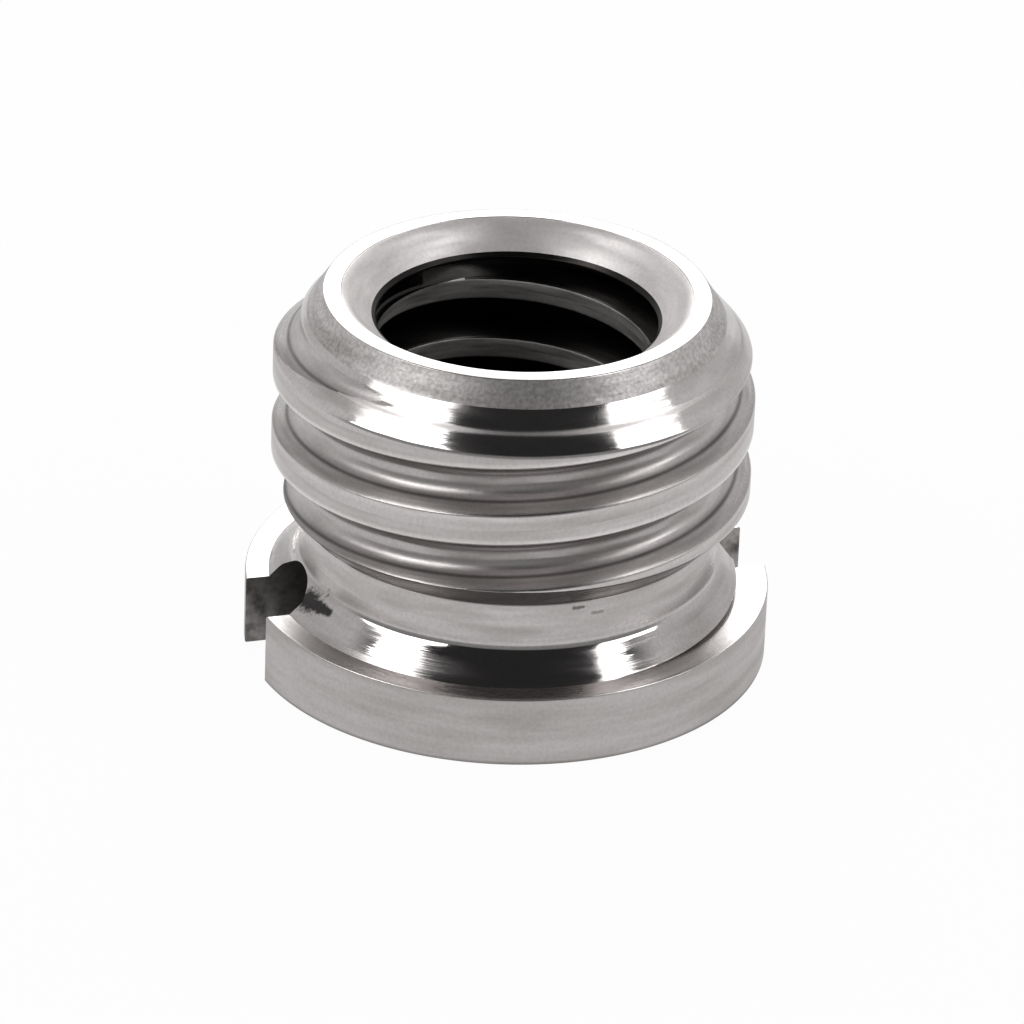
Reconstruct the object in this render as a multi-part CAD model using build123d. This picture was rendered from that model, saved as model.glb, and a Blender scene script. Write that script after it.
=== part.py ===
"""Tripod thread adapter: a flanged metal bushing, threaded outside and inside.

The bushing is turned from one bar. A coarse male thread stands above a relief neck and a
flange, a finer female thread runs right through, and a screwdriver slot crosses the underside.
Millimetres, +Z up along the thread axis, origin at the centre of the flange's underside.
The slot runs along X.
"""

from build123d import *
from build123d.topology import SkipClean
from math import ceil, cos, radians, sin, tan
import os

# Whole bushing
total_height = 7.4

# Flange, which stands out past the male crests, and the slot across its underside
flange_overhang = 0.45
flange_thickness = 1.4
flange_edge_break = 0.07
slot_width = 1.58
slot_overcut = 0.24
slot_crown = 0.32

# Relief neck between the flange and the male thread, turned just below the male roots, and the
# cone at its foot
neck_relief = 0.055
neck_foot_width = 0.57
neck_foot_height = 0.56
neck_height = 1.47

# Male thread, 3/8 inch with 16 threads to the inch, crests left wide and roots rounded
male_pitch = 1.5875
male_major_radius = 4.6
male_crest_flat = 0.6
male_root_round = 0.34

# Lead-in at the threaded end: a narrow tip cone, then a cone from below the roots to the crests
tip_cone_width = 0.3
tip_cone_height = 0.45
lead_cone_relief = 0.105
lead_cone_height = 0.7

# Female thread, 1/4 inch with 20 threads to the inch, the wall left outside its roots, and the
# height over which it runs out below the upper mouth
female_pitch = 1.27
female_thread_depth = 0.54
female_root_flat = 0.25
thread_wall = 0.8848
tap_runout = 0.4

# Countersinks at the two mouths of the bore, a little wider than the female thread
upper_mouth_clearance = 0.13
upper_mouth_depth = 0.55
lower_mouth_clearance = 0.15
lower_mouth_depth = 0.45

# Height of one groove of each thread where it crosses the +X side
male_groove_height = 4.41
female_groove_height = 5.25

# Both threads are of the 60 degree form
flank_angle = 30

# How far each cutting tool passes beyond the metal
tool_overshoot = 0.3

# Turned walls are made in equal sectors and threads in short arcs, so that no face is endless,
# and the round male roots are made of a few narrow facets
sector_count = 12
arcs_per_turn = 3
root_facet_count = 6

# Sizes that follow from those above
slope = tan(radians(flank_angle))
male_mouth_half = (male_pitch - male_crest_flat) / 2
male_round_half = male_root_round * cos(radians(flank_angle))
male_round_depth = male_root_round * (1 - sin(radians(flank_angle)))
male_root_radius = male_major_radius - (male_mouth_half - male_round_half) / slope - male_round_depth
female_major_radius = male_root_radius - thread_wall
female_minor_radius = female_major_radius - female_thread_depth
flange_radius = male_major_radius + flange_overhang
neck_radius = male_root_radius - neck_relief
neck_top = flange_thickness + neck_height


def turned_profile():
    """Half section of the blank, from the bore wall to the outer surfaces."""
    bevel_top = neck_top + male_major_radius - neck_radius
    lead_top = total_height - tip_cone_height
    lead_cone_radius = male_root_radius - lead_cone_relief
    with BuildSketch(Plane.XZ) as sketch:
        with BuildLine():
            Polyline(
                (neck_radius + neck_foot_width, flange_thickness),
                (flange_radius - flange_edge_break, flange_thickness),
                (flange_radius, flange_thickness - flange_edge_break),
                (flange_radius, flange_edge_break),
                (flange_radius - flange_edge_break, 0),
                (female_major_radius + lower_mouth_clearance, 0),
                (female_minor_radius, lower_mouth_depth),
                (female_minor_radius, total_height - upper_mouth_depth),
                (female_major_radius + upper_mouth_clearance, total_height),
                (lead_cone_radius - tip_cone_width, total_height),
                (lead_cone_radius, lead_top),
                (male_major_radius, lead_top - lead_cone_height),
                (male_major_radius, bevel_top),
                (neck_radius, neck_top),
                (neck_radius, flange_thickness + neck_foot_height),
                close=True,
            )
        make_face()
    return sketch.sketch.face()


def turned_blank():
    """Revolve the half section in equal sectors and join them, with their joints left as edges."""
    step = 360 / sector_count
    sector = revolve(turned_profile(), axis=Axis.Z, revolution_arc=step).solid()
    sectors = [Rot(0, 0, step * index) * sector for index in range(sector_count)]
    return sectors[0].fuse(*sectors[1:])


def male_root_points():
    """Points round the root of the male groove, from its upper flank to its lower one."""
    half_turn = 90 - flank_angle
    centre = male_root_radius + male_root_round
    angles = [half_turn - 2 * half_turn * index / root_facet_count for index in range(root_facet_count + 1)]
    return [
        (centre - male_root_round * cos(radians(angle)), male_root_round * sin(radians(angle)))
        for angle in angles
    ]


def male_groove_section():
    """Section of the groove between two male crests: two flanks and a round root."""
    outer_radius = male_major_radius + tool_overshoot
    outer_half = male_mouth_half + tool_overshoot * slope
    with BuildSketch(Plane.XZ) as sketch:
        with BuildLine():
            Polyline(
                (outer_radius, -outer_half), (outer_radius, outer_half), *male_root_points(), close=True
            )
        make_face()
    return sketch.sketch.face()


def female_groove_section():
    """Section of the groove cut into the bore wall: two flanks and a narrow root flat."""
    inner_radius = female_minor_radius - tool_overshoot
    root_half = female_root_flat / 2
    inner_half = root_half + (female_major_radius - inner_radius) * slope
    with BuildSketch(Plane.XZ) as sketch:
        with BuildLine():
            Polyline(
                (inner_radius, -inner_half),
                (female_major_radius, -root_half),
                (female_major_radius, root_half),
                (inner_radius, inner_half),
                close=True,
            )
        make_face()
    return sketch.sketch.face()


def groove_tool(section, pitch, crossing, low, high):
    """Sweep a groove section up a right-hand helix that crosses +X at the height given.

    The helix is a wire of short arcs, so that each swept wall is a short face too.
    """
    step = 360 / arcs_per_turn
    rise = pitch / arcs_per_turn
    arc = Helix(pitch=pitch, height=rise, radius=section.center().X)
    arc_count = ceil((high - low) / rise)
    path = Wire([Pos(0, 0, rise * index) * Rot(0, 0, step * index) * arc for index in range(arc_count)])
    tool = sweep(section, path=path, is_frenet=True).solid()
    start_angle = -360 * (crossing - low) / pitch
    return Pos(0, 0, low) * Rot(0, 0, start_angle) * tool


def tap_reach():
    """The space that the tap's grooves reach, which narrows to the bore just below the upper mouth."""
    mouth_bottom = total_height - upper_mouth_depth
    outer_radius = female_major_radius + tool_overshoot
    grown = mouth_bottom - tap_runout * (1 + tool_overshoot / female_thread_depth)
    with BuildSketch(Plane.XZ) as sketch:
        with BuildLine():
            Polyline(
                (0, -tool_overshoot),
                (outer_radius, -tool_overshoot),
                (outer_radius, grown),
                (female_minor_radius, mouth_bottom),
                (0, mouth_bottom),
                close=True,
            )
        make_face()
    return revolve(sketch.sketch.face(), axis=Axis.Z).solid()


def slot_tool():
    """The milling cutter's path: a straight slot along X whose roof is slightly arched."""
    wall_height = flange_thickness + slot_overcut
    half = slot_width / 2
    with BuildSketch(Plane.YZ) as sketch:
        with BuildLine():
            sides = Polyline(
                (-half, wall_height), (-half, -tool_overshoot), (half, -tool_overshoot), (half, wall_height)
            )
            ThreePointArc(sides @ 1, (0, wall_height + slot_crown), sides @ 0)
        make_face()
    return extrude(sketch.sketch.face(), amount=flange_radius + tool_overshoot, both=True).solid()


def adapter_body():
    """Cut both threads and the slot into the blank, with its sectors still marked by edges."""
    male_tool = groove_tool(
        section=male_groove_section(),
        pitch=male_pitch,
        crossing=male_groove_height,
        low=neck_top - male_mouth_half,
        high=total_height + male_pitch,
    )
    female_tool = groove_tool(
        section=female_groove_section(),
        pitch=female_pitch,
        crossing=female_groove_height,
        low=-female_pitch,
        high=total_height + female_pitch,
    )
    with SkipClean():
        tapped_space = female_tool.intersect(tap_reach()).solid()
        return turned_blank().cut(male_tool).cut(tapped_space).cut(slot_tool())


os.makedirs("parts", exist_ok=True)
export_step(adapter_body(), "parts/adapter_body.step")
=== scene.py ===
"""Looks of a tripod thread adapter: a nickel-plated bushing threaded outside and inside.

The bushing is one closed skin of revolution into which two helical grooves sink, with a
screwdriver slot cut across its underside. Sizes here are millimetres until a mesh is made,
and metres in the scene. +Z runs up the thread axis, and the slot runs along X.
"""

import logging
import math
from dataclasses import dataclass, field
from enum import Enum
from typing import Callable

import bmesh
import bpy
import numpy as np
from mathutils import Matrix, Vector

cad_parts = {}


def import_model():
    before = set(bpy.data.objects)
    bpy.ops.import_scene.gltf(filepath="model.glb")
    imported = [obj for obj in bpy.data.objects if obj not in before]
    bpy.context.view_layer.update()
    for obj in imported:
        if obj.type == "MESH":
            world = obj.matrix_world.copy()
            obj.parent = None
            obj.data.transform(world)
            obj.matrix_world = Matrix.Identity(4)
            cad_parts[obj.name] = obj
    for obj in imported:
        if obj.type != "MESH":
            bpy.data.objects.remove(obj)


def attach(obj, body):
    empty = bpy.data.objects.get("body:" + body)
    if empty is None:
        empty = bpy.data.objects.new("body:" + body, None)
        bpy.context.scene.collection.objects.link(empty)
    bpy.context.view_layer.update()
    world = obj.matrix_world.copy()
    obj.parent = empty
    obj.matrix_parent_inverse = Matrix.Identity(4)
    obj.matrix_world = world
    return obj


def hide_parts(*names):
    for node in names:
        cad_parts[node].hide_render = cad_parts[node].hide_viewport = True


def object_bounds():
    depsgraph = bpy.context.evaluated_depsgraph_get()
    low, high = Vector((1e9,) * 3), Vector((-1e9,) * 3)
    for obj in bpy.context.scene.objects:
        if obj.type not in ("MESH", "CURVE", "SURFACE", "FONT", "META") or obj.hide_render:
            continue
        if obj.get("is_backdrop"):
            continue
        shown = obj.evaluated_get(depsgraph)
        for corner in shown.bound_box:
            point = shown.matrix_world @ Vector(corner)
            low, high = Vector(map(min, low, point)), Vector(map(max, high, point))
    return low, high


LOG = logging.getLogger("adapter")
MM = 0.001
MICRON = 1e-6
FULL_TURN = 2 * math.pi
Array = np.ndarray
Tree = bpy.types.NodeTree
Socket = bpy.types.NodeSocket

# Size of the plate's satin grains. They and the tool's rings are drawn coarser than real, where
# they are some hundredths of a millimetre, because finer ones would vanish between pixels
GRAIN_MM = 0.07
# Groups of rings that differ in shine are this many rings wide
STREAK_TO_RING = 3.2
LEAST_ROUGHNESS = 0.03
# Faces that meet at less than this angle are shaded as one surface
SMOOTH_ANGLE = math.radians(38)
# Factors that lay a vector flat on the table
LEVEL = (1.0, 1.0, 0.0)


def linear(hex_colour: str) -> tuple[float, float, float, float]:
    """Turn an sRGB hex colour into linear red, green, blue and a full alpha.

    Args:
        hex_colour: six hex digits after a hash sign.

    Returns:
        The linear colour with alpha 1.
    """
    parts = [int(hex_colour[i : i + 2], 16) / 255 for i in (1, 3, 5)]
    curved = [p / 12.92 if p <= 0.04045 else ((p + 0.055) / 1.055) ** 2.4 for p in parts]
    return (*curved, 1.0)


def soft_min(first: Array, second: Array, width: float) -> Array:
    """Return the lesser of two arrays, with their crossing rounded over a width.

    The formula is the lesser value less the square of the overlap over four times the width,
    where the overlap is how far the difference falls short of the width.

    Args:
        first: one array of values.
        second: the other array.
        width: the difference below which the corner is rounded.

    Returns:
        The rounded minimum.
    """
    overlap = np.maximum(width - np.abs(first - second), 0.0)
    return np.minimum(first, second) - overlap**2 / (4 * width)


def soft_max(first: Array, second: Array, width: float) -> Array:
    """Return the greater of two arrays, rounded over a width as soft_min rounds the lesser."""
    return -soft_min(-first, -second, width)


def add_node(tree: Tree, kind: str, inputs: dict | None = None, **settings) -> bpy.types.Node:
    """Add one node, set its properties, and set or link its inputs.

    Args:
        tree: the node tree that takes the node.
        kind: the node's type name.
        inputs: socket name or number to a constant, or to the output socket that feeds it.
        settings: properties of the node itself.

    Returns:
        The new node.
    """
    node = tree.nodes.new(kind)
    for name, value in settings.items():
        setattr(node, name, value)
    for name, value in (inputs or {}).items():
        if isinstance(value, Socket):
            tree.links.new(value, node.inputs[name])
        else:
            node.inputs[name].default_value = value
    return node


def joined(tree: Tree, first: Socket | float, second: Socket | float, operation: str) -> Socket:
    """Join two values, each a socket or a number, by the operation named."""
    return add_node(tree, "ShaderNodeMath", {0: first, 1: second}, operation=operation).outputs[0]


def vector(tree: Tree, operation: str, first, second=None) -> Socket:
    """Join vectors, or a vector and its scale, by the operation named.

    Args:
        tree: the node tree.
        operation: the operation.
        first: the first vector, as a socket or as numbers.
        second: the second one, or the scale, where the operation takes one.

    Returns:
        The result's socket, a number for a length, a distance or a dot product.
    """
    inputs = {0: first}
    if second is not None:
        inputs[3 if operation == "SCALE" else 1] = second
    outputs = add_node(tree, "ShaderNodeVectorMath", inputs, operation=operation).outputs
    return outputs["Value" if operation in ("LENGTH", "DISTANCE", "DOT_PRODUCT") else "Vector"]


def mapped(
    tree: Tree,
    value: Socket,
    low: float,
    high: float,
    at_low: float,
    at_high: float,
    curve: str = "LINEAR",
) -> Socket:
    """Map a value's range from low to high on to another, clamped, by the curve named."""
    ends = {"Value": value, "From Min": low, "From Max": high, "To Min": at_low, "To Max": at_high}
    return add_node(tree, "ShaderNodeMapRange", ends, interpolation_type=curve).outputs[0]


class Machining(Enum):
    """How each surface of the bushing was cut before it was plated."""

    FLANGE_RIM = 0
    FLANGE_TOP = 1
    NECK = 2
    BEVEL = 3
    CREST = 4
    GROOVE = 5
    LEAD_CONE = 6
    TIP_CONE = 7
    END_FACE = 8
    COUNTERSINK = 9
    BORE = 10
    UNDERSIDE = 11
    SLOT = 12
    BORE_LAND = 13
    NECK_FOOT = 14


@dataclass(frozen=True)
class Band:
    """A narrow band round the part that is brighter, darker or rougher than the rest; the brighter and darker
    ones are painted highlight and painted shade.

    Attributes:
        height: height of its middle in millimetres, above the table or above the groove's middle.
        width: distance from its middle at which it has faded.
        tone: factor on the colour at its middle.
        rough: what it adds to the roughness at its middle.
    """

    height: float
    width: float
    tone: float = 1.0
    rough: float = 0.0


@dataclass(frozen=True)
class Mark:
    """A short dark stroke where the plate is bruised or holds dirt; at the slot's corner, the painted shadow
    of a burr.

    Attributes:
        start: one end of its middle line, in millimetres.
        end: the other end.
        reach: how far it goes from that line, in millimetres.
        tone: factor on the colour at that line.
    """

    start: tuple[float, float, float]
    end: tuple[float, float, float]
    reach: float
    tone: float = 0.1


@dataclass(frozen=True)
class NickelPlate:
    """Thin nickel plate over turned metal: a cool grey mirror broken by the tool's fine rings.

    Attributes:
        name: what the surface is and how it was cut.
        colour: reflected colour of clean plate.
        stain: reflected colour where the plate is dull.
        roughness: middle roughness of the surface.
        roughness_swing: how far the roughness wanders either side.
        ring_mm: spacing of the tool's rings.
        ring_height_um: height of the rings.
        wave_mm: size of the slow unevenness under the rings.
        wave_height_um: height of that unevenness.
        around: how many times a ring's height changes round one radian.
        speckle: share of the colour lost in the darkest satin grains.
        bands: bands that differ from the rest of the surface.
        marks: small dark marks.
        helix: height at which a groove crosses +X and its pitch, where the cut follows one.
        metallic: share of bare metal, less where a dull film covers it.
    """

    name: str
    colour: str = "#D0CCCB"
    stain: str = "#B2AEAC"
    roughness: float = 0.2
    roughness_swing: float = 0.07
    ring_mm: float = 0.1
    ring_height_um: float = 2.2
    wave_mm: float = 0.8
    wave_height_um: float = 4.0
    around: float = 2.5
    speckle: float = 0.09
    bands: tuple[Band, ...] = ()
    marks: tuple[Mark, ...] = ()
    helix: tuple[float, float] | None = None
    metallic: float = 1.0

    def build(self) -> bpy.types.Material:
        """Make the material, with its rings read from Object coordinates.

        Returns:
            The material.
        """
        material = bpy.data.materials.new(self.name)
        material.use_nodes = True
        tree = material.node_tree
        tree.nodes.clear()
        place = add_node(tree, "ShaderNodeTexCoord").outputs["Object"]
        in_mm = vector(tree, "SCALE", place, 1 / MM)
        flat = vector(tree, "MULTIPLY", in_mm, LEVEL)
        radius = vector(tree, "LENGTH", flat)
        outward = vector(tree, "NORMALIZE", flat)
        height = self._height(tree, in_mm)
        rings = self._ring_noise(tree, outward, height, radius, self.ring_mm, self.around)
        streaks = self._ring_noise(
            tree, outward, height, radius, self.ring_mm * STREAK_TO_RING, self.around * 0.7
        )
        waves = self._grain(tree, in_mm, self.wave_mm, 2.0)
        grains = self._grain(tree, in_mm, GRAIN_MM, 3.0)
        tone = mapped(tree, grains, 0.35, 0.62, 1 - self.speckle, 1.0)
        swing = self.roughness_swing
        smoothest = max(self.roughness - swing, LEAST_ROUGHNESS)
        rough = mapped(tree, streaks, 0.32, 0.68, smoothest, self.roughness + swing)
        for band in self.bands:
            near = self._nearness(tree, height, band)
            toned = mapped(tree, near, 0.0, 1.0, 1.0, band.tone)
            tone = joined(tree, tone, toned, "MULTIPLY")
            rough = joined(tree, rough, mapped(tree, near, 0.0, 1.0, 0.0, band.rough), "ADD")
        # Marks, bruises and painted shadows alike, are joined by the darkest, and the grains fray their edges
        bruise_and_shade = 1.0
        for mark in self.marks:
            ragged = joined(tree, self._distance(tree, in_mm, mark), grains, "ADD")
            shade = mapped(tree, ragged, 0.95, 1.45, mark.tone, 1.0)
            bruise_and_shade = joined(tree, shade, bruise_and_shade, "MINIMUM")
        tone = joined(tree, tone, bruise_and_shade, "MULTIPLY")
        dullness = mapped(tree, streaks, 0.4, 0.68, 0.0, 1.0)
        blend = {0: dullness, 6: linear(self.colour), 7: linear(self.stain)}
        plate = add_node(tree, "ShaderNodeMix", blend, data_type="RGBA").outputs[2]
        colour = vector(tree, "SCALE", plate, tone)
        relief = {"Height": waves, "Distance": self.wave_height_um * MICRON, "Strength": 1.0}
        waved = add_node(tree, "ShaderNodeBump", relief).outputs[0]
        relief = {"Height": rings, "Distance": self.ring_height_um * MICRON, "Normal": waved}
        ringed = add_node(tree, "ShaderNodeBump", {**relief, "Strength": 1.0}).outputs[0]
        metal = {"Base Color": colour, "Metallic": self.metallic, "Roughness": rough, "Normal": ringed}
        surface = add_node(tree, "ShaderNodeBsdfPrincipled", metal).outputs[0]
        add_node(tree, "ShaderNodeOutputMaterial", {"Surface": surface})
        return material

    def _height(self, tree: Tree, in_mm: Socket) -> Socket:
        """Add the height that the cut follows: above the table, or from the nearest groove's middle.

        On a helix it is the height less the crossing, less the pitch times the angle over a full
        turn, wrapped to within half a pitch.

        Args:
            tree: the node tree.
            in_mm: the place in millimetres.

        Returns:
            The height's socket.
        """
        parts = add_node(tree, "ShaderNodeSeparateXYZ", {0: in_mm}).outputs
        if self.helix is None:
            return parts["Z"]
        crossing, pitch = self.helix
        angle = joined(tree, parts["Y"], parts["X"], "ARCTAN2")
        climb = joined(tree, angle, pitch / FULL_TURN, "MULTIPLY")
        rise = joined(tree, joined(tree, parts["Z"], crossing, "SUBTRACT"), climb, "SUBTRACT")
        ends = {0: rise, 1: pitch / 2, 2: -pitch / 2}
        return add_node(tree, "ShaderNodeMath", ends, operation="WRAP").outputs[0]

    @staticmethod
    def _grain(tree: Tree, in_mm: Socket, size: float, detail: float) -> Socket:
        """Add even noise whose lumps have the size given, in millimetres."""
        lumps = {"Vector": in_mm, "Scale": 1 / size, "Detail": detail}
        return add_node(tree, "ShaderNodeTexNoise", lumps).outputs[0]

    @staticmethod
    def _distance(tree: Tree, in_mm: Socket, mark: Mark) -> Socket:
        """Add how far a place is from a mark's middle line, where 1 is the mark's reach.

        The nearest spot on the line is the share of the line that the dot product with it over
        its length squared gives, held between none and all of it.

        Args:
            tree: the node tree.
            in_mm: the place in millimetres.
            mark: the mark.

        Returns:
            The distance's socket.
        """
        line = np.subtract(mark.end, mark.start)
        away = vector(tree, "SUBTRACT", in_mm, mark.start)
        share = vector(tree, "DOT_PRODUCT", away, (line / (line @ line)).tolist())
        held = add_node(tree, "ShaderNodeClamp", {"Value": share}).outputs[0]
        spot = vector(tree, "SCALE", line.tolist(), held)
        return joined(tree, vector(tree, "DISTANCE", away, spot), mark.reach, "DIVIDE")

    @staticmethod
    def _nearness(tree: Tree, height: Socket, band: Band) -> Socket:
        """Add how near a height is to a band's middle, from none at its edge to one."""
        away = joined(tree, joined(tree, height, band.height, "SUBTRACT"), 0.0, "ABSOLUTE")
        return mapped(tree, away, band.width, 0.0, 0.0, 1.0, "SMOOTHSTEP")

    @staticmethod
    def _ring_noise(
        tree: Tree,
        outward: Socket,
        height: Socket,
        radius: Socket,
        spacing: float,
        around: float,
    ) -> Socket:
        """Add noise drawn out into rings round the axis.

        The noise is sampled at the outward direction times a small number, the height over the
        spacing and the radius over the spacing, so it changes slowly round and fast along.

        Args:
            tree: the node tree.
            outward: unit vector away from the axis.
            height: height in millimetres.
            radius: radius in millimetres.
            spacing: distance between rings in millimetres.
            around: scale of the change round the axis.

        Returns:
            The noise value's socket.
        """
        rise = joined(tree, height, 1 / spacing, "MULTIPLY")
        lift = add_node(tree, "ShaderNodeCombineXYZ", {"Z": rise}).outputs[0]
        spot = vector(tree, "ADD", vector(tree, "SCALE", outward, around), lift)
        reach = joined(tree, radius, 1 / spacing, "MULTIPLY")
        return add_node(
            tree,
            "ShaderNodeTexNoise",
            {"Vector": spot, "W": reach, "Scale": 1.0, "Detail": 2.0, "Roughness": 0.6},
            noise_dimensions="4D",
        ).outputs[0]


# Height at which a groove of each thread crosses +X, and the thread's pitch
MALE_HELIX = (4.41, 1.5875)
FEMALE_HELIX = (5.25, 1.27)
# Both threads are of the 60 degree form
FLANK = math.radians(30)
# Painted shadow of a burr of torn metal at the slot's corner, a dark patch that narrows away from the slot
SLOT_BURR_SHADOW = (
    Mark((-4.2, -0.8, 1.72), (-4.15, -0.95, 1.72), 0.3),
    Mark((-4.15, -0.95, 1.72), (-4.05, -1.25, 1.74), 0.2),
    Mark((-4.05, -1.25, 1.74), (-3.95, -1.5, 1.76), 0.12),
)

FINISHES: dict[Machining, NickelPlate] = {
    # Fine turning under dull plate: an even satin grey, with painted shade along the lower edge where it
    # meets the table
    Machining.FLANGE_RIM: NickelPlate(
        "nickel_plate_turned_rim",
        "#C3BFBE",
        "#B5B1AF",
        roughness=0.45,
        ring_height_um=0.6,
        bands=(Band(0.02, 0.08, 0.55),),
    ),
    # Facing under bright plate: a soft mirror of the dark room, drawn out round the neck
    Machining.FLANGE_TOP: NickelPlate("nickel_plate_faced_flange", roughness=0.25),
    # A fine cut with a worn tool: a pale satin, with two nicks under the thread
    Machining.NECK: NickelPlate(
        "nickel_plate_turned_neck",
        "#C6C2C1",
        "#B2AEAC",
        roughness=0.28,
        ring_height_um=1.0,
        marks=(
            Mark((0.12, -4.03, 2.74), (0.3, -4.02, 2.74), 0.05, 0.35),
            Mark((0.5, -4.0, 2.58), (0.7, -3.97, 2.58), 0.045, 0.6),
        ),
    ),
    # Coarse rings under bright plate: a sharp mirror whose lights end in ragged threads, with the painted
    # shadow of the slot's burr
    Machining.NECK_FOOT: NickelPlate(
        "nickel_plate_turned_foot",
        "#C4C0BF",
        "#A8A4A2",
        roughness=0.12,
        ring_height_um=2.2,
        marks=SLOT_BURR_SHADOW,
    ),
    # Painted shade in the corner under the thread: a dark grey band
    Machining.BEVEL: NickelPlate("nickel_plate_turned_bevel", "#8F8B89", "#5F5B59", roughness=0.25),
    # Crests rubbed in use: a pale satin, with painted highlights as brighter lines along both edges
    Machining.CREST: NickelPlate(
        "nickel_plate_thread_crest",
        "#C8C4C3",
        "#B2AEAC",
        roughness=0.3,
        ring_height_um=1.0,
        bands=(Band(0.53, 0.09, 1.3, -0.1), Band(-0.55, 0.12, 1.15)),
        helix=MALE_HELIX,
    ),
    # Thread-cut roots: streaked grey, with a painted shade line along the root's lower corner, a painted
    # highlight across the root above it, and a bright, rough painted highlight at the upper edge
    Machining.GROOVE: NickelPlate(
        "nickel_plate_thread_groove",
        "#BAB6B5",
        "#8F8B89",
        roughness=0.28,
        bands=(Band(-0.33, 0.035, 0.35, 0.1), Band(-0.2, 0.13, 1.2, 0.1), Band(0.48, 0.06, 1.6, 0.4)),
        helix=MALE_HELIX,
    ),
    # Turned last under bright plate: a sharp mirror, its lights frayed by the rings
    Machining.LEAD_CONE: NickelPlate(
        "nickel_plate_lead_cone",
        roughness=0.12,
        ring_mm=0.12,
        ring_height_um=2.8,
        bands=(Band(6.6, 0.07, 1.0, 0.3),),
    ),
    # Chattered by the tool: a mottled, sparkling grey
    Machining.TIP_CONE: NickelPlate(
        "nickel_plate_tip_cone",
        roughness=0.42,
        ring_height_um=4.0,
        wave_mm=0.3,
        wave_height_um=9.0,
        speckle=0.3,
    ),
    # Faced smooth: a clean soft mirror
    Machining.END_FACE: NickelPlate("nickel_plate_end_face", roughness=0.22, ring_height_um=0.8),
    # Drilled after turning, with thick plate: a pale matt grey
    Machining.COUNTERSINK: NickelPlate(
        "nickel_plate_countersink", "#DCD8D7", "#C8C4C3", roughness=0.5, ring_height_um=1.5
    ),
    # Tapped grooves deep in the bore: near black with a faint shine, painted shade in the recess
    Machining.BORE: NickelPlate("nickel_plate_tapped_bore", "#2E2C2B", "#1C1B1A", roughness=0.3),
    # Bored lands with a dull film: pale, streaky and half matt
    Machining.BORE_LAND: NickelPlate(
        "nickel_plate_bored_land",
        "#C8C5C3",
        "#6A6764",
        roughness=0.4,
        ring_mm=0.07,
        helix=FEMALE_HELIX,
        metallic=0.6,
    ),
    # Faced and rubbed on the bench: a soft satin
    Machining.UNDERSIDE: NickelPlate("nickel_plate_underside", roughness=0.35),
    # Milled: a cloudy grey, darker than the faces outside the slot
    Machining.SLOT: NickelPlate("nickel_plate_milled_slot", "#A8A4A2", "#5F5B59", roughness=0.42),
}


@dataclass(frozen=True)
class MaleGroove:
    """Groove between the crests of the outer thread: two straight flanks and a round root."""

    crossing: float = MALE_HELIX[0]
    pitch: float = MALE_HELIX[1]
    crest_flat: float = 0.6
    root_round: float = 0.34
    crest_radius: float = 4.6
    flank: float = FLANK
    edge_round: float = 0.045

    @property
    def mouth_half(self) -> float:
        """Half the groove's width at the crests."""
        return (self.pitch - self.crest_flat) / 2

    @property
    def root_half(self) -> float:
        """Half the width over which the root is round."""
        return self.root_round * math.cos(self.flank)

    @property
    def tangent_radius(self) -> float:
        """Radius at which the flanks meet the round root."""
        return self.crest_radius - (self.mouth_half - self.root_half) / math.tan(self.flank)

    @property
    def root_radius(self) -> float:
        """Radius at the bottom of the root."""
        return self.tangent_radius - self.root_round * (1 - math.sin(self.flank))

    def radius(self, offset: Array) -> Array:
        """Radius of the groove's wall at a height above or below its middle.

        Within the root it is a circle's arc, and beyond it the radius grows by the offset over
        the tangent of the flank angle.

        Args:
            offset: height above the groove's middle.

        Returns:
            The wall's radius.
        """
        away = np.abs(offset)
        inside = np.minimum(away, self.root_half)
        arc = self.root_radius + self.root_round - np.sqrt(self.root_round**2 - inside**2)
        return arc + np.maximum(away - self.root_half, 0.0) / math.tan(self.flank)

    def stations(self) -> Array:
        """Heights from the groove's middle that need a row of points, lowest first."""
        arc = self.root_round * np.sin(np.linspace(-1, 1, 9) * (math.pi / 2 - self.flank))
        flank = np.array([0.03, 0.1]) + self.root_half
        return np.concatenate([-flank[::-1], arc, flank])


@dataclass(frozen=True)
class FemaleGroove:
    """Groove cut into the bore's wall: two straight flanks and a narrow root."""

    crossing: float = FEMALE_HELIX[0]
    pitch: float = FEMALE_HELIX[1]
    depth: float = 0.54
    root_flat: float = 0.25
    root_radius: float = 3.2
    flank: float = FLANK
    edge_round: float = 0.04
    runout_top: float = 6.85
    runout: float = 0.4

    @property
    def crest_radius(self) -> float:
        """Radius of the bore between the grooves."""
        return self.root_radius - self.depth

    def radius(self, offset: Array) -> Array:
        """Radius of the groove's wall at a height above or below its middle.

        It is the root's radius less the offset beyond the root flat over the flank's tangent.

        Args:
            offset: height above the groove's middle.

        Returns:
            The wall's radius.
        """
        beyond = np.maximum(np.abs(offset) - self.root_flat / 2, 0.0)
        return self.root_radius - beyond / math.tan(self.flank)

    def wall(self, z: Array, offset: Array) -> Array:
        """Radius of the groove's wall where it is held back by the run-out below the mouth.

        The run-out is a straight line in height, from the root's radius at its foot to the
        bore's radius at its top, and the wall is the lesser of the groove and that line.

        Args:
            z: heights.
            offset: heights above the groove's middle.

        Returns:
            The wall's radius.
        """
        reach = self.crest_radius + (self.runout_top - z) * self.depth / self.runout
        return np.minimum(self.radius(offset), reach)

    def stations(self) -> Array:
        """Heights from the groove's middle that need a row of points, lowest first."""
        half = self.root_flat / 2
        return np.array([-half - 0.04, -half, -half + 0.03, half - 0.03, half, half + 0.04])


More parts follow.
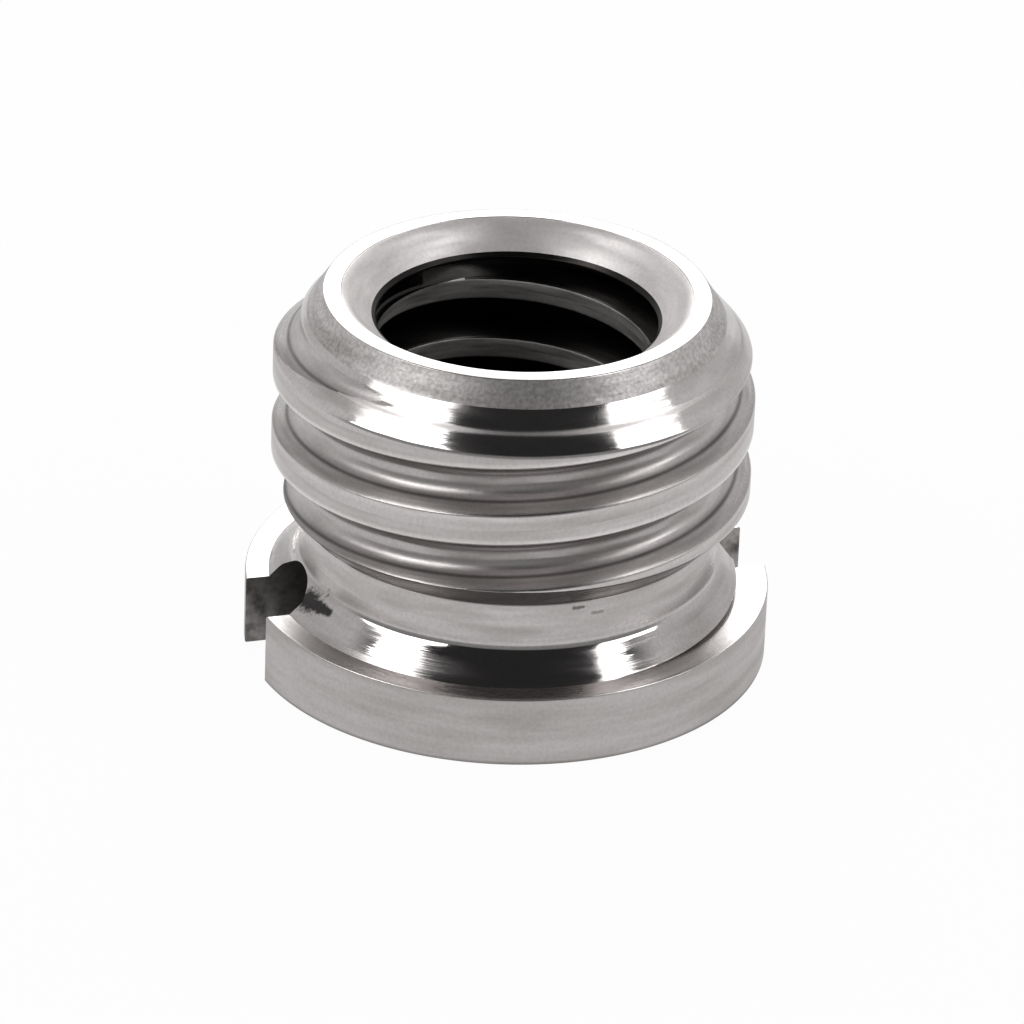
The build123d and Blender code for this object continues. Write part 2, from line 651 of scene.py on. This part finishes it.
@dataclass
class Adapter:
    """The whole bushing, skinned as rows of points carried round the thread axis.

    Attributes:
        height: overall height.
        flange_radius: radius of the flange.
        columns: points round the axis.
    """

    height: float
    flange_radius: float
    columns: int = 320
    flange_thickness: float = 1.4
    flange_edge: float = 0.035
    slot_width: float = 1.58
    slot_depth: float = 1.64
    slot_crown: float = 0.32
    neck_relief: float = 0.055
    neck_height: float = 1.47
    foot_width: float = 0.57
    foot_height: float = 0.56
    foot_blend: float = 0.07
    tip_cone_width: float = 0.3
    tip_cone_height: float = 0.45
    lead_cone_relief: float = 0.105
    lead_cone_height: float = 0.7
    upper_mouth_clearance: float = 0.13
    upper_mouth_depth: float = 0.55
    lower_mouth_clearance: float = 0.15
    lower_mouth_depth: float = 0.45
    corner_round: float = 0.035
    male: MaleGroove = field(default_factory=MaleGroove)
    female: FemaleGroove = field(default_factory=FemaleGroove)

    def __post_init__(self) -> None:
        """Work out the radii that follow from the sizes given."""
        self.neck_radius = self.male.root_radius - self.neck_relief
        self.neck_top = self.flange_thickness + self.neck_height
        self.foot_top = self.flange_thickness + self.foot_height
        self.foot_radius = self.neck_radius + self.foot_width
        self.lead_radius = self.male.root_radius - self.lead_cone_relief
        self.lead_top = self.height - self.tip_cone_height
        self.lead_bottom = self.lead_top - self.lead_cone_height
        self.tip_radius = self.lead_radius - self.tip_cone_width
        self.upper_mouth = self.female.root_radius + self.upper_mouth_clearance
        self.lower_mouth = self.female.root_radius + self.lower_mouth_clearance
        self.bevel_top = self.neck_top + self.male.crest_radius - self.neck_radius

    def outer_blank(self, z: Array) -> Array:
        """Radius of the outside before it is threaded.

        It is the least of the bevel, the crest and the end, each a straight line in height, where
        the end is the greater of the lead cone and the steeper tip cone above it. Below the
        crests it is never less than the neck and the neck's foot.

        Args:
            z: heights.

        Returns:
            The radius at each height.
        """
        male = self.male
        bevel = self.neck_radius + (z - self.neck_top)
        lead_slope = (male.crest_radius - self.lead_radius) / self.lead_cone_height
        lead = male.crest_radius - (z - self.lead_bottom) * lead_slope
        tip = self.lead_radius - (z - self.lead_top) * self.tip_cone_width / self.tip_cone_height
        least = soft_min(bevel, np.full_like(z, male.crest_radius), self.corner_round)
        least = soft_min(least, soft_max(lead, tip, self.corner_round / 3), self.corner_round)
        necked = soft_max(least, np.full_like(z, self.neck_radius), self.corner_round)
        foot = self.neck_radius + (self.foot_top - z) * self.foot_width / self.foot_height
        footed = soft_max(necked, foot, self.foot_blend)
        return np.where(z < self.bevel_top, footed, least)

    def inner_blank(self, z: Array) -> Array:
        """Radius of the bore before it is tapped: the greatest of the bore and its two mouths.

        Args:
            z: heights.

        Returns:
            The radius at each height.
        """
        bore = self.female.crest_radius
        upper = self.upper_mouth - (self.height - z) * (self.upper_mouth - bore) / self.upper_mouth_depth
        lower = self.lower_mouth - z * (self.lower_mouth - bore) / self.lower_mouth_depth
        return soft_max(soft_max(np.full_like(z, bore), upper, self.corner_round), lower, self.corner_round)

    @staticmethod
    def groove_offset(z: Array, angle: Array, crossing: float, pitch: float) -> Array:
        """Height above the nearest groove's middle: less the crossing and the climb, wrapped."""
        rise = z - crossing - pitch * angle / FULL_TURN
        return rise - pitch * np.round(rise / pitch)

    def outer_radius(self, z: Array, angle: Array) -> Array:
        """Radius of the threaded outside: the lesser of the blank and the groove above the neck.

        Args:
            z: heights.
            angle: angles round the axis.

        Returns:
            The radius at each point.
        """
        male = self.male
        wall = male.radius(self.groove_offset(z, angle, male.crossing, male.pitch))
        return soft_min(self.outer_blank(z), wall, male.edge_round)

    def inner_radius(self, z: Array, angle: Array) -> Array:
        """Radius of the tapped bore: the greater of the blank and the groove.

        Args:
            z: heights.
            angle: angles round the axis.

        Returns:
            The radius at each point.
        """
        female = self.female
        wall = female.wall(z, self.groove_offset(z, angle, female.crossing, female.pitch))
        return soft_max(self.inner_blank(z), wall, female.edge_round)

    @staticmethod
    def edge_of_cut(depth: Callable[[Array], Array], middle: Array, far: Array) -> Array:
        """Find where a groove leaves the blank, by halving between its deepest point and afar.

        Args:
            depth: depth of the cut at an array of heights, above zero inside the cut.
            middle: heights at which the cut is deepest.
            far: heights outside the cut.

        Returns:
            The heights of the edge, or the deepest point where there is no cut.
        """
        cut = depth(middle) > 0
        inside, outside = middle.copy(), far.copy()
        for _ in range(30):
            half = (inside + outside) / 2
            deep = depth(half) > 0
            inside, outside = np.where(deep, half, inside), np.where(deep, outside, half)
        return np.where(cut, (inside + outside) / 2, middle)

    def groove_rows(
        self,
        angle: Array,
        groove: MaleGroove | FemaleGroove,
        depth: Callable[[Array, Array], Array],
        low: float,
        high: float,
        rim: Array,
    ) -> Array:
        """Heights of the rows that follow each turn of a groove and both its edges.

        Past the places where the groove first cuts the wall and last cuts it, its rows stay
        together at that place, so that every column has the same number of rows.

        Args:
            angle: angles of the columns.
            groove: the groove's form.
            depth: depth of the cut, from heights and the height of the groove's middle.
            low: lowest height of the wall.
            high: highest height of the wall.
            rim: distances either side of an edge that need a row.

        Returns:
            One row of heights for each point, by column.
        """
        middles = np.linspace(low - groove.pitch, high + groove.pitch, 4001)
        heights = np.linspace(low, high, 801)[:, None]
        cutting = middles[depth(heights, middles[None, :]).max(axis=0) > 0]
        first = math.floor((cutting[0] - groove.crossing) / groove.pitch) - 1
        last = math.ceil((cutting[-1] - groove.crossing) / groove.pitch)
        rows = []
        for turn in range(first, last + 1):
            middle = groove.crossing + groove.pitch * (turn + angle / FULL_TURN)
            middle = np.clip(middle, cutting[0], cutting[-1])
            tries = middle + np.linspace(-0.5, 0.5, 201)[:, None] * groove.pitch
            deepest = np.take_along_axis(
                tries, np.argmax(depth(tries, middle[None, :]), axis=0)[None, :], axis=0
            )[0]
            cut = lambda z: depth(z, middle)
            bottom = self.edge_of_cut(cut, deepest, middle - groove.pitch / 2)
            top = self.edge_of_cut(cut, deepest, middle + groove.pitch / 2)
            inner = np.clip(middle[None, :] + groove.stations()[:, None], bottom, top)
            rows.append(np.concatenate([bottom + rim[:, None], inner, top + rim[:, None]]))
        return np.concatenate(rows)

    def outer_wall(self, angle: Array) -> tuple[Array, Array]:
        """Rows of the outside from the bottom of the neck's foot to the end face's corner.

        Args:
            angle: angles of the columns.

        Returns:
            Radii and heights, row by column.
        """
        low, high = self.flange_thickness, self.height - self.flange_edge / 2
        male = self.male
        near = np.array([-0.06, -0.03, 0.0, 0.03, 0.06])
        corners = np.array([self.neck_top, self.bevel_top, self.lead_bottom, self.lead_top])
        fixed = np.concatenate(
            [
                np.linspace(low, self.foot_top - 0.17, 4),
                self.foot_top + np.linspace(-0.13, 0.13, 7),
                np.linspace(self.foot_top + 0.25, self.neck_top - 0.1, 4),
                (corners[:, None] + near[None, :]).ravel(),
                np.array([self.neck_top + 0.25, 3.9, 4.7, 5.5]),
                np.linspace(self.lead_bottom + 0.12, self.lead_top - 0.12, 4),
                np.linspace(self.lead_top + 0.1, high, 4),
            ]
        )
        grooves = self.groove_rows(
            angle,
            male,
            lambda z, middle: self.outer_blank(z) - male.radius(z - middle),
            low,
            high,
            np.array([-0.045, -0.022, 0.0, 0.022, 0.045]),
        )
        z = np.concatenate([np.repeat(fixed[:, None], len(angle), axis=1), grooves])
        z = np.sort(np.clip(z, low, high), axis=0)
        return self.outer_radius(z, angle[None, :]), z

    def inner_wall(self, angle: Array) -> tuple[Array, Array]:
        """Rows of the bore from the upper mouth down to the lower one.

        Args:
            angle: angles of the columns.

        Returns:
            Radii and heights, row by column, highest first.
        """
        female = self.female
        low, high = self.flange_edge / 2, self.height - self.flange_edge / 2
        near = np.array([-0.03, 0.0, 0.03])
        corners = np.array([self.lower_mouth_depth, self.height - self.upper_mouth_depth])
        fixed = np.concatenate(
            [
                np.array([low, 0.2, high - 0.2, high - 0.1, high]),
                np.array([female.runout_top + 0.08, female.runout_top - female.runout]),
                (corners[:, None] + near[None, :]).ravel(),
            ]
        )
        grooves = self.groove_rows(
            angle,
            female,
            lambda z, middle: female.wall(z, z - middle) - self.inner_blank(z),
            low,
            high,
            np.array([-0.03, 0.0, 0.03]),
        )
        z = np.concatenate([np.repeat(fixed[:, None], len(angle), axis=1), grooves])
        z = np.sort(np.clip(z, low, high), axis=0)[::-1]
        return self.inner_radius(z, angle[None, :]), z

    def flange_profile(self) -> tuple[Array, Array]:
        """Profile from the lower mouth across the underside and round the flange to the neck.

        Straight runs are joined by quarter arcs at the flange's two edges.

        Returns:
            Radii and heights along the profile.
        """
        edge, rim, top = self.flange_edge, self.flange_radius, self.flange_thickness
        quarter = np.linspace(0, math.pi / 2, 5)
        radii = np.concatenate(
            [
                np.linspace(self.lower_mouth + 0.04, rim - edge - 0.05, 5),
                rim - edge + edge * np.sin(quarter),
                [rim, rim],
                rim - edge + edge * np.cos(quarter),
                [rim - edge - 0.05, self.foot_radius + 0.05],
            ]
        )
        heights = np.concatenate(
            [
                np.zeros(5),
                edge - edge * np.cos(quarter),
                [edge + 0.05, top - edge - 0.05],
                top - edge + edge * np.sin(quarter),
                [top, top],
            ]
        )
        return radii, heights

    def skin(self) -> bpy.types.Mesh:
        """Make the closed skin of the bushing, before its slot is cut.

        The rows are the flange's profile, the threaded outside, the end face and the tapped
        bore, in that order round the section, and each is carried round the axis.

        Returns:
            The mesh, in metres.
        """
        angle = np.linspace(0, FULL_TURN, self.columns + 1)
        flange_r, flange_z = self.flange_profile()
        outer_r, outer_z = self.outer_wall(angle)
        inner_r, inner_z = self.inner_wall(angle)
        corner = self.flange_edge / 2
        face_r = np.array(
            [
                self.tip_radius + 0.008,
                self.tip_radius - corner,
                self.tip_radius - corner - 0.04,
                self.upper_mouth + corner + 0.04,
                self.upper_mouth + corner,
                self.upper_mouth + 0.008,
            ]
        )
        face_z = np.array([-0.012, 0.0, 0.0, 0.0, 0.0, -0.012]) + self.height
        spread = lambda line: np.repeat(line[:, None], len(angle), axis=1)
        radii = np.concatenate([spread(flange_r), outer_r, spread(face_r), inner_r])
        heights = np.concatenate([spread(flange_z), outer_z, spread(face_z), inner_z])
        points = np.stack([radii * np.cos(angle), radii * np.sin(angle), heights], axis=-1)
        rows, columns = radii.shape
        index = np.arange(rows * columns).reshape(rows, columns)
        following = np.roll(index, -1, axis=0)
        quads = np.stack(
            [index[:, :-1], index[:, 1:], following[:, 1:], following[:, :-1]], axis=-1
        ).reshape(-1, 4)
        mesh = bpy.data.meshes.new("adapter")
        mesh.from_pydata((points.reshape(-1, 3) * MM).tolist(), [], quads.tolist())
        work = bmesh.new()
        work.from_mesh(mesh)
        bmesh.ops.remove_doubles(work, verts=work.verts, dist=2e-8)
        work.to_mesh(mesh)
        work.free()
        return mesh

    def cut_slot(self, piece: bpy.types.Object) -> None:
        """Cut the screwdriver slot through the flange, and up into the neck's foot.

        The cutter is a bar along X: two walls, and a roof that is an arc of a circle whose
        radius is the half width squared plus the crown squared, over twice the crown.

        Args:
            piece: the bushing, whose mesh is replaced by the cut one.
        """
        reach, half, crown = self.flange_radius * 1.5, self.slot_width / 2, self.slot_crown
        roof_radius = (half**2 + crown**2) / (2 * crown)
        swing = np.linspace(1, -1, 13) * math.asin(half / roof_radius)
        roof_y = roof_radius * np.sin(swing)
        roof_z = self.slot_depth + crown - roof_radius * (1 - np.cos(swing))
        section = [(-half, -1.0), (half, -1.0), *zip(roof_y.tolist(), roof_z.tolist())]
        count = len(section)
        corners = [(x * MM, y * MM, z * MM) for x in (-reach, reach) for y, z in section]
        sides = [(i, (i + 1) % count, (i + 1) % count + count, i + count) for i in range(count)]
        faces = [*sides, tuple(range(count))[::-1], tuple(range(count, 2 * count))]
        block = bpy.data.meshes.new("slot_block")
        block.from_pydata(corners, [], faces)
        block.materials.append(piece.data.materials[Machining.SLOT.value])
        tool = bpy.data.objects.new("slot_block", block)
        bpy.context.scene.collection.objects.link(tool)
        cut = piece.modifiers.new("slot", "BOOLEAN")
        cut.operation, cut.object, cut.solver = "DIFFERENCE", tool, "EXACT"
        cut.material_mode = "TRANSFER"
        bpy.context.view_layer.update()
        done = bpy.data.meshes.new_from_object(
            piece.evaluated_get(bpy.context.evaluated_depsgraph_get())
        )
        piece.modifiers.clear()
        piece.data = done
        bpy.data.objects.remove(tool)

    def mark_machining(self, mesh: bpy.types.Mesh) -> None:
        """Give each face the finish of the tool that cut it, from where its middle lies.

        Args:
            mesh: the skin, before its slot is cut.
        """
        middles = np.empty(len(mesh.polygons) * 3)
        mesh.polygons.foreach_get("center", middles)
        x, y, z = (middles.reshape(-1, 3) / MM).T
        radius, angle = np.hypot(x, y), np.arctan2(y, x) % FULL_TURN
        outside = radius > (self.outer_blank(z) + self.inner_blank(z)) / 2
        male = self.male
        wall = male.radius(self.groove_offset(z, angle, male.crossing, male.pitch))
        in_groove = wall < self.outer_blank(z) - 0.004
        kind = np.full(len(z), Machining.CREST.value)
        rules = [
            (z < self.neck_top, Machining.NECK),
            (z < self.foot_top, Machining.NECK_FOOT),
            ((z >= self.neck_top) & (z < self.bevel_top), Machining.BEVEL),
            (z >= self.lead_bottom, Machining.LEAD_CONE),
            (z >= self.lead_top, Machining.TIP_CONE),
            (in_groove & (z >= self.neck_top), Machining.GROOVE),
            (z < self.flange_thickness + 0.001, Machining.FLANGE_TOP),
            (z < self.flange_thickness - self.flange_edge * 0.7, Machining.FLANGE_RIM),
        ]
        for where, finish in rules:
            kind[where & outside] = finish.value
        land = radius < self.female.crest_radius + 0.03
        mouth = (z > self.height - self.upper_mouth_depth) & (radius > self.female.crest_radius + 0.1)
        # Painted shade: the bore is near black, and only the lands below the run-out stay pale
        kind[~outside] = Machining.BORE.value
        below_runout = z < self.female.runout_top - self.female.runout
        kind[~outside & land & below_runout] = Machining.BORE_LAND.value
        kind[~outside & mouth] = Machining.COUNTERSINK.value
        kind[z > self.height - 0.01] = Machining.END_FACE.value
        kind[z < 0.01] = Machining.UNDERSIDE.value
        mesh.polygons.foreach_set("material_index", kind.astype(np.int32))

    def build(self) -> bpy.types.Object:
        """Make the bushing's skin, cut its slot and set which edges are sharp.

        Returns:
            The finished piece.
        """
        mesh = self.skin()
        for machining in Machining:
            mesh.materials.append(FINISHES[machining].build())
        self.mark_machining(mesh)
        piece = bpy.data.objects.new("adapter", mesh)
        bpy.context.scene.collection.objects.link(piece)
        self.cut_slot(piece)
        piece.data.name = "adapter"
        piece.data.shade_smooth()
        piece.data.set_sharp_from_angle(angle=SMOOTH_ANGLE)
        return piece


@dataclass(frozen=True)
class Camera:
    """The photograph's view: a long lens a little way off, rolled slightly.

    Attributes:
        azimuth: degrees round from the front, towards +X.
        elevation: degrees above the floor.
        roll: degrees that the picture leans clockwise.
        distance: millimetres from the object's middle.
        pixels_per_mm: scale of the picture at the object's middle.
        middle: where the object's middle falls in the picture, in pixels.
        picture: width of the picture in pixels.
    """

    azimuth: float = -17.0
    elevation: float = 27.5
    roll: float = 2.29
    distance: float = 129.0
    pixels_per_mm: float = 52.2
    middle: tuple[float, float] = (510.9, 465.9)
    picture: float = 1024.0

    def build(self, target: Vector) -> bpy.types.Object:
        """Place the camera so that the target falls where the photograph has it.

        Args:
            target: the object's middle, in metres.

        Returns:
            The camera.
        """
        turn, rise, lean = (math.radians(v) for v in (self.azimuth, self.elevation, self.roll))
        back = Vector(
            (math.sin(turn) * math.cos(rise), -math.cos(turn) * math.cos(rise), math.sin(rise))
        )
        level = Vector((math.cos(turn), math.sin(turn), 0.0))
        upright = back.cross(level)
        right = level * math.cos(lean) + upright * math.sin(lean)
        up = upright * math.cos(lean) - level * math.sin(lean)
        focal = self.pixels_per_mm * self.distance
        across = (self.middle[0] - self.picture / 2) / focal
        above = (self.picture / 2 - self.middle[1]) / focal
        z_axis = (back + right * across + up * above).normalized()
        x_axis = (right - z_axis * right.dot(z_axis)).normalized()
        y_axis = z_axis.cross(x_axis)
        data = bpy.data.cameras.new("camera")
        data.sensor_width = 36.0
        data.lens = 36.0 * focal / self.picture
        data.clip_start, data.clip_end = 0.005, 10.0
        camera = bpy.data.objects.new("camera", data)
        turned = Matrix((x_axis, y_axis, z_axis)).transposed().to_4x4()
        camera.matrix_world = Matrix.Translation(target + back * self.distance * MM) @ turned
        bpy.context.scene.collection.objects.link(camera)
        bpy.context.scene.camera = camera
        return camera


@dataclass(frozen=True)
class SoftBox:
    """A studio lamp's glowing face, placed by where its four corners are seen from the object.

    Attributes:
        name: the lamp's name.
        corners: bearing and elevation of each corner in degrees, in order round the face.
            Bearings are counted from the camera's side, towards its right.
        radiance: brightness of its face, where 1 is white.
        distance: millimetres from the object.
    """

    name: str
    corners: tuple[tuple[float, float], ...]
    radiance: float
    distance: float = 260.0

    def build(self, camera: "Camera", target: Vector) -> bpy.types.Object:
        """Place the lamp's face round the object.

        Args:
            camera: the view that bearings are counted from.
            target: the object's middle, in metres.

        Returns:
            The lamp's face.
        """
        points = []
        for bearing, elevation in self.corners:
            turn, rise = math.radians(camera.azimuth + bearing), math.radians(elevation)
            away = Vector(
                (math.sin(turn) * math.cos(rise), -math.cos(turn) * math.cos(rise), math.sin(rise))
            )
            points.append(target + away * self.distance * MM)
        mesh = bpy.data.meshes.new(self.name)
        mesh.from_pydata([tuple(point) for point in points], [], [tuple(range(len(points)))])
        material = bpy.data.materials.new(self.name + "_diffuser")
        material.use_nodes = True
        tree = material.node_tree
        tree.nodes.clear()
        glow = add_node(
            tree, "ShaderNodeEmission", {"Color": linear("#FFFFFF"), "Strength": self.radiance}
        ).outputs[0]
        add_node(tree, "ShaderNodeOutputMaterial", {"Surface": glow})
        mesh.materials.append(material)
        lamp = bpy.data.objects.new(self.name, mesh)
        lamp.visible_camera = False
        bpy.context.scene.collection.objects.link(lamp)
        lamp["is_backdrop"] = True
        return lamp


@dataclass(frozen=True)
class Studio:
    """White table and surround, the lamps' faces, and the dark room over the camera's side.

    Attributes:
        camera: the view that bearings are counted from.
        table_size: width of the white table, in metres.
        table_in_metal: brightness of the table where the metal shows it.
        shadow_radius: radii between which the table's brightness in the metal rises, in
            millimetres, as the table is dark under the bushing.
        walls: brightness of the surround at the sides and back, as stops of the sine of the
            elevation and the brightness there.
        front: the same on the camera's side.
        lamps: the lamps.
    """

    camera: Camera
    table_size: float = 6.0
    table_in_metal: float = 0.85
    shadow_radius: tuple[float, float] = (3.6, 5.4)
    walls: tuple[tuple[float, float], ...] = ((0.0, 0.72), (0.66, 0.68), (0.86, 0.22), (1.0, 0.2))
    front: tuple[tuple[float, float], ...] = (
        (0.0, 0.34), (0.58, 0.3), (0.7, 0.03), (0.94, 0.03), (1.0, 0.15)
    )
    lamps: tuple[SoftBox, ...] = (
        SoftBox(
            "soft_box_left_low",
            ((-32, 42), (-38, 51), (-64, 54.6), (-77, 48.5), (-86, 37), (-84, 29), (-58, 39)),
            4.2,
        ),
        SoftBox(
            "soft_box_left_high",
            ((-64, 54.6), (-70, 63), (-90, 68), (-108, 60), (-100, 52), (-77, 49.5)),
            4.2,
        ),
        SoftBox(
            "soft_box_right_low",
            ((58, 38), (63, 54.2), (75, 48.5), (82, 41), (93, 35), (90, 27), (76, 33)),
            4.2,
        ),
        SoftBox(
            "soft_box_right_high",
            ((63, 54.2), (67, 62), (88, 68), (106, 60), (98, 52), (75, 49.5)),
            4.2,
        ),
        SoftBox("back_lamp", ((155, 12), (155, 42), (205, 42), (205, 12)), 3.2),
    )

    def table(self) -> bpy.types.Object:
        """Make the white table, which shows as white to the camera and in the metal.

        Returns:
            The table top.
        """
        half = self.table_size / 2
        corners = [(-half, -half, 0), (half, -half, 0), (half, half, 0), (-half, half, 0)]
        mesh = bpy.data.meshes.new("table")
        mesh.from_pydata(corners, [], [(0, 1, 2, 3)])
        material = bpy.data.materials.new("matt_white_table")
        material.use_nodes = True
        tree = material.node_tree
        tree.nodes.clear()
        path = add_node(tree, "ShaderNodeLightPath")
        place = add_node(tree, "ShaderNodeTexCoord").outputs["Object"]
        inner, outer = (radius * MM for radius in self.shadow_radius)
        away = vector(tree, "LENGTH", place)
        lit = mapped(tree, away, inner, outer, 0.0, self.table_in_metal, "SMOOTHSTEP")
        mirrored = joined(tree, path.outputs["Is Glossy Ray"], lit, "MULTIPLY")
        seen = joined(tree, path.outputs["Is Camera Ray"], mirrored, "MAXIMUM")
        matt = add_node(tree, "ShaderNodeBsdfDiffuse", {"Color": linear("#E8E8E8")}).outputs[0]
        glow = add_node(tree, "ShaderNodeEmission", {"Color": linear("#FFFFFF"), "Strength": seen}).outputs[0]
        both = add_node(tree, "ShaderNodeMixShader", {0: 0.96, 1: matt, 2: glow}).outputs[0]
        add_node(tree, "ShaderNodeOutputMaterial", {"Surface": both})
        mesh.materials.append(material)
        table = bpy.data.objects.new("table", mesh)
        bpy.context.scene.collection.objects.link(table)
        table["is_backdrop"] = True
        return table

    @staticmethod
    def ramp(
        tree: Tree, value: Socket, stops: tuple[tuple[float, float], ...]
    ) -> Socket:
        """Add a ramp of greys through the stops given.

        Args:
            tree: the node tree.
            value: what the ramp is read by.
            stops: positions and greys.

        Returns:
            The grey's socket.
        """
        node = add_node(tree, "ShaderNodeValToRGB", {0: value})
        elements = node.color_ramp.elements
        while len(elements) < len(stops):
            elements.new(0.5)
        for element, (position, grey) in zip(elements, stops):
            element.position, element.color = position, (grey, grey, grey, 1.0)
        return add_node(tree, "ShaderNodeSeparateColor", {0: node.outputs[0]}).outputs[0]

    def surround(self) -> None:
        """Light the scene from all round: pale walls, a dim ceiling and a dark front."""
        world = bpy.data.worlds.new("surround")
        bpy.context.scene.world = world
        world.use_nodes = True
        tree = world.node_tree
        tree.nodes.clear()
        turn = math.radians(self.camera.azimuth)
        way = add_node(tree, "ShaderNodeTexCoord").outputs["Generated"]
        height = add_node(tree, "ShaderNodeSeparateXYZ", {0: way}).outputs["Z"]
        bearing = vector(tree, "NORMALIZE", vector(tree, "MULTIPLY", way, LEVEL))
        ahead = vector(tree, "DOT_PRODUCT", bearing, (math.sin(turn), -math.cos(turn), 0.0))
        to_front = mapped(tree, ahead, -0.1, 0.25, 0.0, 1.0, "SMOOTHSTEP")
        pale, dark = (self.ramp(tree, height, stops) for stops in (self.walls, self.front))
        blend = {0: to_front, 2: pale, 3: dark}
        level = add_node(tree, "ShaderNodeMix", blend, data_type="FLOAT").outputs[0]
        path = add_node(tree, "ShaderNodeLightPath")
        blend = {0: path.outputs["Is Camera Ray"], 2: level, 3: 1.0}
        seen = add_node(tree, "ShaderNodeMix", blend, data_type="FLOAT").outputs[0]
        glow = add_node(
            tree, "ShaderNodeBackground", {"Color": linear("#FFFFFF"), "Strength": seen}
        ).outputs[0]
        add_node(tree, "ShaderNodeOutputWorld", {"Surface": glow})

    def build(self, target: Vector) -> None:
        """Set up the table, the surround and the lamps.

        Args:
            target: the object's middle, in metres.
        """
        self.table()
        self.surround()
        for lamp in self.lamps:
            lamp.build(self.camera, target)


def main() -> None:
    """Load the frame, build and dress the bushing, and set up the studio."""
    logging.basicConfig(level=logging.INFO, format="%(name)s: %(message)s")
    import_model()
    cad_low, cad_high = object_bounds()
    adapter = Adapter(height=cad_high.z / MM, flange_radius=cad_high.y / MM)
    piece = adapter.build()
    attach(piece, "root")
    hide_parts("adapter_body")
    triangles = sum(len(face.vertices) - 2 for face in piece.data.polygons)
    LOG.info("%s: %d triangles", piece.name, triangles)
    middle = Vector((0.0, 0.0, (cad_low.z + cad_high.z) / 2))
    camera = Camera()
    camera.build(middle)
    Studio(camera).build(middle)
    scene = bpy.context.scene
    scene.view_settings.view_transform = "Standard"


if __name__ == "__main__":
    main()
